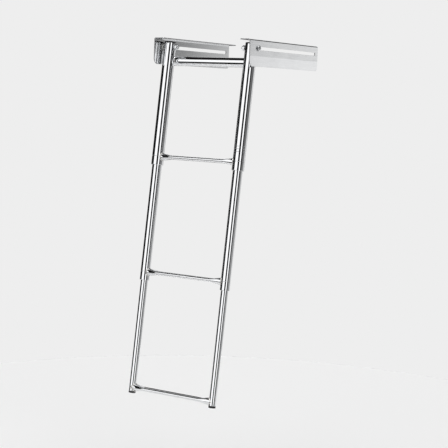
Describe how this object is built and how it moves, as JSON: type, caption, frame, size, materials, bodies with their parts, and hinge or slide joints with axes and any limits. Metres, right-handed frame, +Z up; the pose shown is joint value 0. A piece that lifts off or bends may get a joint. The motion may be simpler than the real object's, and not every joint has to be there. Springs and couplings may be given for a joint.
{
  "type": "boat boarding ladder",
  "caption": "Stainless steel swim ladder that telescopes, folds flat and slides away between slotted brackets under a boat's swim platform.",
  "frame": {"origin": "middle of the mounting face, the plane of both brackets' flange tops, halfway along the brackets and between them", "axes": "+X to the right along the rungs, +Y along the brackets away from the hanging ladder, +Z up into the platform"},
  "size_m": [0.3058, 0.4981, 0.9514],
  "materials": {
    "bracket_sheet": "polished stainless steel sheet, faint rolling grain",
    "pivot_bolt": "bright stainless steel fastener",
    "washer": "bright stainless steel fastener",
    "lock_nut": "bright stainless steel fastener",
    "pivot_spacer": "natural white nylon",
    "crossbar_tube": "mirror-polished stainless steel tube",
    "rung_tube": "mirror-polished stainless steel tube",
    "stile_tube": "mirror-polished stainless steel tube",
    "collar": "mirror-polished stainless steel tube",
    "guide_bush": "natural white nylon",
    "slider": "natural white nylon",
    "end_cap": "satin black nylon"
  },
  "bodies": {
    "brackets": {"left_bracket": "bracket_sheet", "right_bracket": "bracket_sheet"},
    "carriage": {"left_pivot_bolt": "pivot_bolt", "left_outer_washer": "washer", "left_pivot_spacer": "pivot_spacer", "left_inner_washer": "washer", "left_lock_nut": "lock_nut", "right_pivot_bolt": "pivot_bolt", "right_outer_washer": "washer", "right_pivot_spacer": "pivot_spacer", "right_inner_washer": "washer", "right_lock_nut": "lock_nut"},
    "upper_section": {"crossbar": "crossbar_tube", "upper_rung": "rung_tube", "left_outer_tube": "stile_tube", "left_outer_collar": "collar", "left_outer_bush": "guide_bush", "left_top_cap": "end_cap", "right_outer_tube": "stile_tube", "right_outer_collar": "collar", "right_outer_bush": "guide_bush", "right_top_cap": "end_cap"},
    "middle_section": {"middle_rung": "rung_tube", "left_middle_tube": "stile_tube", "left_middle_collar": "collar", "left_middle_bush": "guide_bush", "left_middle_slider": "slider", "right_middle_tube": "stile_tube", "right_middle_collar": "collar", "right_middle_bush": "guide_bush", "right_middle_slider": "slider"},
    "lower_section": {"lower_rung": "rung_tube", "left_inner_tube": "stile_tube", "left_inner_slider": "slider", "left_foot_cap": "end_cap", "right_inner_tube": "stile_tube", "right_inner_slider": "slider", "right_foot_cap": "end_cap"}
  },
  "joints": [
    {"name": "carriage_slide", "type": "slide", "parent": "brackets", "child": "carriage", "axis": [0, 1, 0], "range_m": [0, 0.332]},
    {"name": "ladder_swing", "type": "hinge", "parent": "carriage", "child": "upper_section", "pos_m": [0, -0.154, -0.023], "axis": [-1, 0, 0], "range_deg": [-30, 81.7]},
    {"name": "middle_slide", "type": "slide", "parent": "upper_section", "child": "middle_section", "axis": [0, 0.1444, 0.9895], "range_m": [0, 0.279]},
    {"name": "lower_slide", "type": "slide", "parent": "middle_section", "child": "lower_section", "axis": [0, 0.1444, 0.9895], "range_m": [0, 0.279]}
  ]
}
